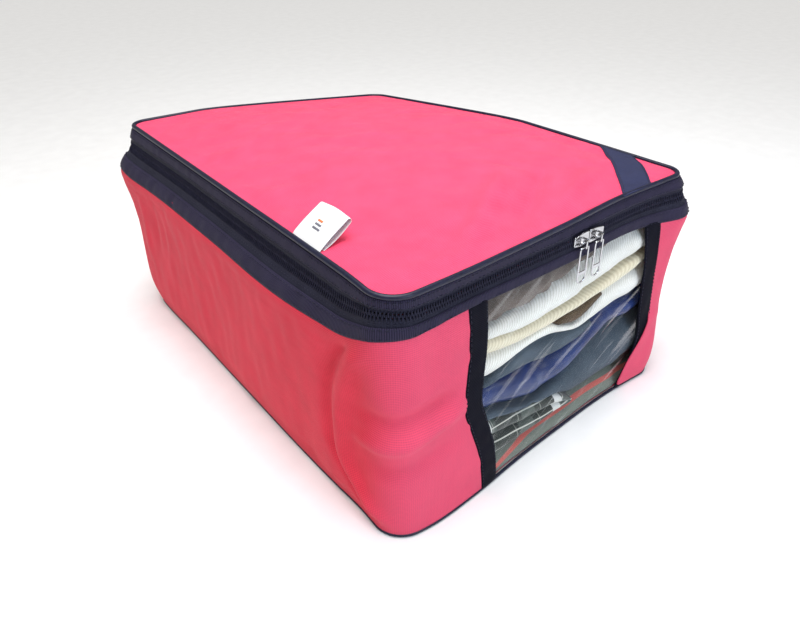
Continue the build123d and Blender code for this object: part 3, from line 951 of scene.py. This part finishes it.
# near the pulls the film stays behind them
wrinkle = np.minimum(wrinkle, 3 * MM - 2.9 * MM * smooth((film_z - 0.145) / 0.02))
film_points = skin(FRONT_MID + film_x, film_z, wrinkle * tight - 0.3 * MM)
film = mesh("film", film_points, grid_faces(*film_x.shape), FILM, np.stack([film_x, film_z], -1), False)
thicken(film, 0.35 * MM, finer="before")
settle(film, "bag_base", ["window_film"])


# ---------------------------------------------------------------- rim, zip and lid edge
def tape_band(name, s, low, high, lift, thick, amount, seed, material, closed=False):
    """A tape or webbing that is gathered a little along its length."""
    t = np.linspace(0, 1, 8)
    z = low + (high - low) * t
    ss, zz = np.meshgrid(s, z, indexing="ij")
    gathered = waves(ss * 3.0, zz * 0.4, seed, 0.05) * amount * np.sin(np.pi * t)[None, :] ** 0.6
    outer = skin(ss, zz, lift + thick * (1 - 0.6 * np.abs(2 * t - 1) ** 8)[None, :] + gathered)
    inner = skin(ss, zz, lift + gathered)
    rows = np.concatenate([outer, inner[:, ::-1]], axis=1)
    return loft(name, rows, s, np.concatenate([z, z[::-1]]), material, closed)


zip_start, zip_stop = ZIP_END, LENGTH - ZIP_END
zip_run = steps(zip_start, zip_stop, 4 * MM)
for name, s, low, high, lift, thick, amount, seed, material, body, slot, node in (
    ("rim_band", RING, RIM_LOW - 0.5 * MM, RIM_TOP - 0.7 * MM, 0.5, 1.2, 0.45, 41,
     NAVY, "bag_base", "navy_webbing", "rim_webbing"),
    ("zip_tape_low", zip_run, ZIP_Z - 11.5 * MM, ZIP_Z - 2.2 * MM, -0.6, 0.9, 0.12, 42,
     ZIP_CLOTH, "bag_base", "zip_tape", "zip_tape_lower"),
    ("zip_tape_top", zip_run, ZIP_Z + 2.2 * MM, ZIP_Z + 10.5 * MM, -0.8, 0.9, 0.10, 43,
     ZIP_CLOTH, "lid", "zip_tape", "zip_tape_upper"),
    ("gusset", RING, GUSSET_LOW + 0.3 * MM, SEAM + 0.8 * MM, 0.0, 1.2, 0.25, 44,
     NAVY, "lid", "navy_webbing", "lid_gusset"),
):
    piece = tape_band(name, s, low, high, lift * MM, thick * MM, amount * MM, seed, material, s is RING)
    settle(piece, body, [node])

BEAD = 2.3 * MM
BEAD_Z = BEAD_TOP - BEAD - 0.1 * MM
piping = round_band("piping", BEAD_Z, 0.2 * MM, BEAD, 16, PIPING)
settle(piping, "lid", ["lid_piping"])

PITCH = 2.5 * MM
# One coil turn: the distance from the zip's middle line, then how far the wire stands out; and its radius
TURN = np.array(
    [(4.6, -0.5), (4.1, 0.35), (3.0, 0.62), (1.5, 0.60), (0.2, 0.42), (-0.65, -0.05), (-0.9, -0.7)]
)
TURN_RADIUS = np.array([0.62, 0.72, 0.74, 0.74, 0.82, 0.86, 0.6])
for name, way, shift, body, node in (
    ("coil_low", -1, 0.0, "bag_base", "zip_coil_lower"),
    ("coil_top", 1, 0.5, "lid", "zip_coil_upper"),
):
    s = zip_start + (np.arange(int((zip_stop - zip_start) / PITCH)) + 0.5 + shift) * PITCH
    points = skin(s[:, None], ZIP_Z + way * TURN[None, :, 0] * MM, TURN[None, :, 1] * MM)
    _, _, nx, ny = outline(s)
    piece = wires(name, points, TURN_RADIUS * MM, 6, np.stack([-ny, nx, 0 * nx], -1), COIL)
    settle(piece, body, [node])

STITCH_DIP = np.array([-0.35, 0.1, 0.22, 0.1, -0.35]) * MM
STITCH_THICK = np.array([0.2, 0.34, 0.36, 0.34, 0.2]) * MM


def stitch_spots(count, share=0.66):
    """Shares of a row's length for each stitch's five points."""
    return (np.arange(count)[:, None] + 0.5 + np.linspace(-0.5, 0.5, 5)[None, :] * share) / count


def stitches(name, low, out, body):
    """Stitches over points on the cloth, dipping in at both ends; out is the outward direction."""
    points = low + out * STITCH_DIP[None, :, None]
    return settle(wires(name, points, STITCH_THICK, 5, out[:, 2], THREAD), body)


def sewn(name, s, z, lift, body):
    """Stitches on the bag's surface at distances s and heights z."""
    low = skin(s, z, lift)
    return stitches(name, low, (skin(s, z, lift + 1 * MM) - low) / MM, body)


STITCH_PITCH = 4.2 * MM
for name, start, stop, height, lift, body in (
    ("rim_stitch_low", 0, LENGTH, RIM_LOW + 1.2 * MM, 1.6, "bag_base"),
    ("rim_stitch_high", 0, LENGTH, RIM_TOP - 2.1 * MM, 1.6, "bag_base"),
    ("tape_stitch_low", zip_start, zip_stop, ZIP_Z - 7 * MM, 0.3, "bag_base"),
    ("gusset_stitch_low", 0, LENGTH, GUSSET_LOW + 1.8 * MM, 1.15, "lid"),
    ("gusset_stitch_high", 0, LENGTH, SEAM - 1.8 * MM, 1.15, "lid"),
):
    s = start + stitch_spots(int((stop - start) / STITCH_PITCH)) * (stop - start)
    sewn(name, s, height, lift * MM, body)

for side_name, middle in (("left", left_mid), ("right", right_mid)):
    for edge_name, side in (("a", -1), ("b", 1)):
        z = 0.005 + stitch_spots(44) * (RIM_LOW - 0.006)
        s = FRONT_MID + middle(z) + side * (TAPE_HALF - 1.8 * MM)
        sewn(f"tape_{side_name}_stitch_{edge_name}", s, z, 1.75 * MM, "bag_base")

# ---------------------------------------------------------------- cloth hinge and zip ends
hinge_run = steps(-HINGE_HALF, HINGE_HALF, 4 * MM)
hinge_z = np.linspace(RIM_TOP - 1 * MM, GUSSET_LOW + 1.2 * MM, 16)
hs, hz = np.meshgrid(np.mod(-hinge_run, LENGTH), hinge_z, indexing="ij")
hinge = mesh("hinge_cloth", skin(hs, hz, 0.2 * MM), grid_faces(*hs.shape), NAVY, np.stack([hs, hz], -1))
thicken(hinge, 1.2 * MM)
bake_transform(hinge)
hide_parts("hinge_strip_lower", "hinge_strip_upper")

for side_name, sign in (("left", 1), ("right", -1)):
    mid = sign * (ZIP_END - 3 * MM)
    run = np.mod(steps(mid - 7 * MM, mid + 7 * MM, 1 * MM), LENGTH)
    for half, low, high, body in (("low", -8.5, -0.5, "bag_base"), ("top", 0.5, 9.5, "lid")):
        tab_name = f"zip_end_{side_name}_{half}"
        low, high = ZIP_Z + low * MM, ZIP_Z + high * MM
        tab = tape_band(tab_name, run, low, high, 1.0 * MM, 1.1 * MM, 0.1 * MM, 47, NAVY)
        settle(tab, body, ["zip_end_tabs"] if tab_name == "zip_end_left_low" else [])


# ---------------------------------------------------------------- lid
LID_BASE = 0.2352
LID_RIDGES = [
    ((-0.10, -0.235), (0.05, -0.14), 10, 5.0),
    ((-0.05, -0.24), (0.09, -0.155), 8, -4.5),
    ((0.0, -0.235), (0.12, -0.19), 8, 3.5),
    ((-0.165, -0.12), (-0.06, -0.05), 16, -1.6),
    ((-0.165, 0.05), (0.02, 0.16), 18, 1.8),
    ((0.0, 0.16), (0.15, 0.22), 18, -2.5),
]


def lid_height(x, y, reach, edge_z):
    """The lid's height: a low dome with soft wrinkles, sinking at the back right."""
    u, v = np.clip(np.abs(x) / HALF_W, 0, 1), np.clip(np.abs(y) / HALF_D, 0, 1)
    dome = (1 - u**2.4) * (1 - v**2.6) * (1 - reach**12)
    edge = smooth(dome / 0.25)
    flat_z = LID_BASE - sag(x, y)
    z = flat_z + (edge_z - flat_z) * smooth((reach - 0.9) / 0.1) + 8.5 * MM * dome
    z = z + edge * (waves(x, y, 61, 0.16) * 1.2 * MM + waves(x, y * 1.4, 62, 0.06) * 0.40 * MM)
    return z + edge * ridges(x, y, *LID_RIDGES)


def lid_edge(s):
    return skin(s, BEAD_Z - 0.6 * MM, -1.2 * MM)


lid_piece, lid_rim = sheet_grid("lid_cloth", lid_edge, lid_height, RED_LID_PAINTED_LIGHT, 6 * MM)
settle_cloth(lid_piece, np.where(lid_rim, 1.0, 0.2), 0.4, -0.006, 14)
thicken(lid_piece, 1.0 * MM, -1, "before")
settle(lid_piece, "lid", ["lid_panel"])
lid_tree = BVHTree.FromObject(lid_piece, bpy.context.evaluated_depsgraph_get())


def lid_top(x, y):
    hit = lid_tree.ray_cast(Vector((x, y, 1.0)), Vector((0, 0, -1)))[0]
    return hit.z if hit is not None else LID_BASE


# corner strap: a webbing across the front right corner, at 45 degrees
strap_low, strap_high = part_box("corner_strap")
STRAP_ROWS, STRAP_COLS, STRAP_WIDE = 60, 15, 32 * MM
front_y, side_x = -HALF_D + 2.5 * MM, HALF_W - 2.5 * MM
inner_front, outer_front = (np.array([strap_low.x + at * MM, front_y]) for at in (0.5, 43.5))
inner_side, outer_side = (np.array([side_x, strap_high.y - at * MM]) for at in (1, 44))
run = np.linspace(0, 1, STRAP_ROWS)
across = np.linspace(0, 1, STRAP_COLS)
start_line = (1 - across)[:, None] * inner_front + across[:, None] * outer_front
end_line = (1 - across)[:, None] * inner_side + across[:, None] * outer_side
strap_xy = (1 - run)[:, None, None] * start_line[None] + run[:, None, None] * end_line[None]
strap_xy = strap_xy + (np.sin(np.pi * run)[:, None] * 1.4 * MM)[..., None] * np.array([1, -1])
top = np.array([[lid_top(*spot) for spot in row] for row in strap_xy])
evened = top.copy()
for _ in range(6):
    evened[1:-1] = (evened[:-2] + 2 * evened[1:-1] + evened[2:]) / 4
top = np.maximum(evened, top + 0.15 * MM)
edge_drop = 0.6 * MM * (np.abs(2 * across - 1) ** 8)[None, :]
upper = np.concatenate([strap_xy, (top + 1.3 * MM - edge_drop)[..., None]], -1)
lower = np.concatenate([strap_xy, (top + 0.05 * MM)[..., None]], -1)
strap_rows = np.concatenate([upper, lower[:, ::-1]], axis=1)
around = np.concatenate([across, across[::-1]]) * STRAP_WIDE
strap = loft("strap", strap_rows, run * np.linalg.norm(inner_side - inner_front), around, NAVY_STRAP)
settle(strap, "lid", ["corner_strap"])

for name, column in (("strap_stitch_a", 1), ("strap_stitch_b", 13)):
    row = stitch_spots(30) * (STRAP_ROWS - 1)
    low = np.stack([np.interp(row, np.arange(STRAP_ROWS), upper[:, column, k]) for k in range(3)], -1)
    stitches(name, low, np.tile([0, 0, 1.0], low.shape[:2] + (1,)), "lid")

# ---------------------------------------------------------------- label
# Its section: out along the lower half, round the fold at the tip, and back along the upper half
label_low, label_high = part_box("label")
root_x, tip_x = label_low.x - 1.2 * MM, label_high.x + 0.5 * MM
root_z, tip_z = LID_TOP - 0.5 * MM, label_high.z - 1.5 * MM
lean = math.atan2(tip_z - root_z, tip_x - root_x)
FOLD_RADIUS = 2.1 * MM
out = np.linspace(0, 1, 14)
x_line = root_x + (tip_x - root_x) * out
z_line = root_z + (tip_z - root_z) * (0.75 * out + 0.25 * out * out)
belly = MM * np.sin(np.pi * out)
lower_half = np.stack([x_line, z_line - 1.2 * belly], -1)
turn = np.linspace(-math.pi / 2, math.pi / 2, 9)[1:-1]
ox, oz = FOLD_RADIUS * np.cos(turn), FOLD_RADIUS * (np.sin(turn) + 1)
tip = [ox * math.cos(lean) - oz * math.sin(lean), ox * math.sin(lean) + oz * math.cos(lean)]
open_by = 2 * FOLD_RADIUS * np.sqrt(out)
upper_half = [x_line - open_by * math.sin(lean), z_line + 1.4 * belly + open_by * math.cos(lean)]
loop = np.concatenate([lower_half, lower_half[-1] + np.stack(tip, -1), np.stack(upper_half, -1)[::-1]])
label_y = np.linspace(label_low.y, label_high.y, 22)
twist = (label_y - label_y.mean()) / (label_y.max() - label_y.min())
reach = (loop[:, 0:1] - root_x) / (tip_x - root_x)
label_x = loop[:, 0:1] + twist[None, :] * 1.5 * MM
label_z = loop[:, 1:2] + reach * (0.9 * MM * np.cos(twist * 5)[None, :] - 1.0 * MM * twist[None, :])
label_points = np.stack(np.broadcast_arrays(label_x, label_y[None, :], label_z), -1)
arc = measure(loop)
label = mesh("label_loop", label_points, grid_faces(*label_x.shape), WHITE, flat_map(arc, label_y))
thicken(label, 0.45 * MM, finer="after")
settle(label, "lid", ["label"])


def on_label(u, w):
    """A point on the label's upper face: u from its root to its tip, w across it."""
    row, col = len(loop) - 1 - u * (len(out) - 1), w * (len(label_y) - 1)
    i, j = min(int(row), len(loop) - 2), min(int(col), len(label_y) - 2)
    near, far = (label_points[k, j] * (1 - col + j) + label_points[k, j + 1] * (col - j) for k in (i, i + 1))
    return near * (1 - row + i) + far * (row - i)


# Three plain printed bars: from and to along the label, where each starts across it, and its ink
for name, u0, u1, w0, material in (
    ("mark_low", 0.38, 0.43, 0.38, GREY_PRINT),
    ("mark_mid", 0.48, 0.53, 0.42, GREY_PRINT),
    ("mark_high", 0.58, 0.63, 0.46, ORANGE_PRINT),
):
    above = np.array([-math.sin(lean), 0, math.cos(lean)]) * 0.42 * MM
    points = [[on_label(u, w) + above for w in np.linspace(w0, 0.62, 8)] for u in np.linspace(u0, u1, 6)]
    bar = mesh(name, points, grid_faces(6, 8), material)
    thicken(bar, 0.12 * MM)
    settle(bar, "lid")

# ---------------------------------------------------------------- zip sliders and pulls
for side_name in ("left", "right"):
    for node in (f"slider_{side_name}", f"pull_link_{side_name}", f"pull_{side_name}"):
        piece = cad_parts[node]
        piece.data.materials.clear()
        piece.data.materials.append(CHROME)


# ---------------------------------------------------------------- contents
def crowd(count, power=1.8):
    """Steps from -1 to 1, closer together near both ends."""
    t = np.linspace(-1, 1, count)
    return np.sign(t) * (1 - (1 - np.abs(t)) ** power)


# How far the layers stay behind the outer surface, how much further where cloth covers them, and how much
# further where a layer is thinner than THIN
INSET, BEHIND_CLOTH, BEHIND_THIN, THIN = 1.6 * MM, 2.6 * MM, 13 * MM, 2.2 * MM


def slab(low, high, seed, rough, cells, ribs, belly):
    """One folded layer between two height functions; belly is where its side stands out most."""
    nu, nv = cells
    u, v = np.meshgrid(crowd(nu, 1.25), crowd(nv), indexing="ij")
    reach = np.maximum(np.maximum(np.abs(u), np.abs(v)), 1e-9)
    s = border(u / reach, v / reach)
    x, y, _, _ = outline(s)
    middle, depth = low(x, y) * (1 - belly) + high(x, y) * belly, high(x, y) - low(x, y)
    slack = np.random.default_rng(seed).uniform(0.2, 0.8) * MM * rough
    wander = waves(s, middle * 4, seed + 60, 0.06) * 0.9 * MM * rough
    behind_cloth = BEHIND_CLOTH * smooth((np.abs(s - FRONT_MID - 0.02) - 0.095) / 0.02)
    thin = BEHIND_THIN * smooth((THIN - depth) / (1.2 * MM))
    pleat = 0.0
    if ribs:
        pitch, height, lean = ribs
        pleat = height * (1 + np.sin(2 * np.pi * (s + 6 * MM * np.sin(s / 0.011)) / pitch))
    edge = skin(s, middle, np.minimum(wander, 0.3 * MM) - INSET - behind_cloth - slack - pleat - thin)
    x, y = edge[..., 0] * reach, edge[..., 1] * reach
    lo = low(x, y)
    hi = np.maximum(high(x, y), lo + 0.8 * MM)
    mid = lo * (1 - belly) + hi * belly
    inward = (1 - reach) * HALF_W

    def rolled(height):
        roll = np.maximum(height, 1.5 * MM) * 1.1
        return height * np.sqrt(np.clip(1 - (1 - np.clip(inward / roll, 0, 1)) ** 2.2, 0, 1))

    inside = smooth(inward / 0.012)
    ripple = waves(x, y, seed + 20, 0.12) * 1.0 * MM * rough * smooth(inward / 0.03)
    crease = waves(x, y * 0.35, seed + 40, 0.028) * 0.35 * MM * rough * inside
    if ribs:
        crease = crease + height * inside * np.sin(2 * np.pi * (x + lean * mid) / pitch)
    top = np.stack([x, y, mid + rolled(hi - mid) + crease + ripple], -1)
    under = np.stack([x, y, mid - rolled(mid - lo) + ripple * 0.5], -1)
    faces = grid_faces(nu, nv)
    faces += [tuple(i + nu * nv for i in face[::-1]) for face in faces]
    return np.concatenate([top.reshape(-1, 3), under.reshape(-1, 3)]), faces


def meeting(level, *front):
    """A height function: (x, height) points along the front, and the level further back, in millimetres."""
    front = [(x * MM, height * MM) for x, height in front]

    def height(x, y):
        near = smooth((-y - 0.13) / 0.09)
        return near * curve(front, x) + (1 - near) * level * MM

    return height


def between(low, high, share):
    """The height function that lies a share of the way from one to another."""
    return lambda x, y: low(x, y) + (high(x, y) - low(x, y)) * share


# Where each layer ends and the next begins, from the bottom up
TOPS = {
    "floor": meeting(2.4, (-200, 2.4), (200, 2.4)),
    "striped": meeting(20, (-200, 22), (-60, 21.5), (30, 23), (110, 26), (200, 28)),
    "plaid": meeting(52, (-200, 68), (-69, 71), (-36, 61), (-5, 54), (20, 47), (42, 31), (200, 32)),
    "slate": meeting(
        72, (-200, 74), (-69, 76), (-36, 64), (-5, 57), (19, 60), (42, 72), (71, 89), (120, 95), (200, 100)
    ),
    "quilt": meeting(
        111, (-200, 109), (-71, 111), (-48, 109), (2, 99), (41, 105), (64, 114), (120, 112), (200, 116)
    ),
    "grey": meeting(119, (-200, 111), (-77, 115), (-17, 129), (42, 117), (64, 115), (120, 113), (200, 117)),
    "fold": meeting(
        134, (-200, 141), (-95, 142), (-35, 137), (2, 136), (16, 130), (32, 124), (48, 129), (64, 141),
        (131, 153), (200, 157),
    ),
    "wedge": meeting(
        134.8, (-200, 141.8), (-95, 142.8), (-35, 137.8), (2, 137), (16, 140), (32, 143), (51, 146),
        (72, 145.5), (90, 146.5), (131, 154), (200, 158),
    ),
    "cream": meeting(
        149, (-200, 156), (-79, 155), (-35, 148), (5, 147), (40, 149), (76, 152), (131, 162), (200, 166)
    ),
    "ribbed": meeting(
        175, (-200, 165), (-80, 167), (-29, 168), (1, 175), (26, 180), (50, 189), (90, 193), (200, 194)
    ),
    "taupe": meeting(200.5, (-200, 201.5), (200, 202.5)),
}
# Each layer lies on the one before: its name, material, slot, CAD node, seed, number of folds, roughness,
# cells, ribs (distance apart, height, lean) and belly
low = TOPS["floor"]
for name, material, slot, node, seed, layers, rough, cells, ribs, belly in (
    ("striped", STRIPED, "striped_cloth", "blanket_striped", 101, 1, 0.5, (90, 90), None, 0.06),
    ("plaid", PLAID, "grey_plaid", "blanket_plaid", 111, 2, 0.7, (100, 90), None, 0.5),
    ("slate", SLATE, "slate_cloth", "blanket_slate", 121, 1, 0.8, (100, 90), None, 0.4),
    ("quilt", SATIN, "navy_satin", "quilt_navy", 131, 1, 2.0, (130, 110), None, 0.45),
    ("grey", SLATE, "slate_cloth", "blanket_grey", 141, 1, 0.8, (100, 90), None, 0.4),
    ("fold", RIBBED, "cream_pile", "", 146, 1, 1.0, (230, 100), (6.4 * MM, 0.05 * MM, -0.9), 0.5),
    # wedge: painted shade, a dark layer filling the gap between the white fold and the cream
    ("wedge", GAP_SHADE, "cream_pile", "", 148, 1, 0.8, (100, 90), None, 0.5),
    ("cream", CREAM, "cream_pile", "blanket_cream", 151, 1, 1.0, (120, 100), None, 0.5),
    ("ribbed", RIBBED, "white_ribbed", "blanket_ribbed", 161, 1, 1.0, (260, 110),
     (6.4 * MM, 0.07 * MM, -0.9), 0.5),
    ("taupe", TAUPE, "taupe_pile", "blanket_taupe", 171, 1, 2.3, (190, 100), (27 * MM, 1.5 * MM, -1.3), 0.4),
):
    high = TOPS[name]
    verts, faces = [], []
    for layer in range(layers):
        bounds = between(low, high, layer / layers), between(low, high, (layer + 1) / layers)
        points, cells_of = slab(*bounds, seed + layer, rough, cells, ribs, belly)
        faces += [tuple(i + layer * len(points) for i in face) for face in cells_of]
        verts.append(points)
    piece_name = name if name == "quilt" else f"cloth_{name}"
    piece = mesh(piece_name, np.concatenate(verts), faces, material, outward=False)
    turn_outward(piece, weld=0.05 * MM)
    settle(piece, "bag_base", [node] if node else [])
    low = high

# ---------------------------------------------------------------- stage, light and camera
paper = Nodes("floor_paper")
grey = paper.ramp(paper.noise(30, 3, 0.5), [(0.3, rgb(0.90, 0.90, 0.90)), (0.7, rgb(0.94, 0.94, 0.94))])
corners = [(-6, -6, 0), (6, -6, 0), (6, 6, 0), (-6, 6, 0)]
floor = mesh("floor", corners, [(0, 1, 2, 3)], paper.finish(grey, 0.9), outward=False)

world = bpy.data.worlds.new("studio")
bpy.context.scene.world = world
world.use_nodes = True
world.node_tree.nodes["Background"].inputs[0].default_value = (1.0, 0.96, 0.90, 1)
world.node_tree.nodes["Background"].inputs[1].default_value = 0.27


def light(kind, name, spot, target, power, **settings):
    data = bpy.data.lights.new(name, kind)
    data.energy = power
    if kind == "AREA":
        data.shape = "RECTANGLE"
    for key, value in settings.items():
        setattr(data, key, value)
    made = bpy.data.objects.new(name, data)
    bpy.context.scene.collection.objects.link(made)
    made.location = spot
    made.rotation_euler = (Vector(target) - Vector(spot)).to_track_quat("-Z", "Y").to_euler()


light("SUN", "overhead", (-0.7, -0.3, 3), (0, 0, 0), 1.75, angle=math.radians(45))
light("AREA", "top", (-0.02, -0.05, 1.05), (0, 0, 0.2), 9.0, size=0.7, size_y=0.9)
light(
    "AREA", "front", (-0.05, -1.45, 0.72), (-0.05, -0.2, 0.1), 7.5,
    color=(0.66, 0.80, 1.0), size=0.6, size_y=0.6,
)
light(
    "AREA", "streak", (1.15, -1.45, 0.66), (0.05, -0.25, 0.1), 1.6,
    color=(0.92, 0.96, 1.0), size=0.26, size_y=0.18,
)

camera_data = bpy.data.cameras.new("camera")
camera_data.sensor_width = 36.0
camera_data.lens = 29.03
camera_data.shift_x = -0.0265
camera_data.shift_y = -0.0815
camera = bpy.data.objects.new("camera", camera_data)
bpy.context.scene.collection.objects.link(camera)
camera.location = (-0.3873, -0.5350, 0.4632)
azimuth, elevation = math.radians(39.71), math.radians(28.66)
flat_x, flat_y = math.sin(azimuth) * math.cos(elevation), math.cos(azimuth) * math.cos(elevation)
camera.rotation_euler = Vector((flat_x, flat_y, -math.sin(elevation))).to_track_quat("-Z", "Y").to_euler()
bpy.context.scene.camera = camera
bpy.context.scene.view_settings.view_transform = "Standard"
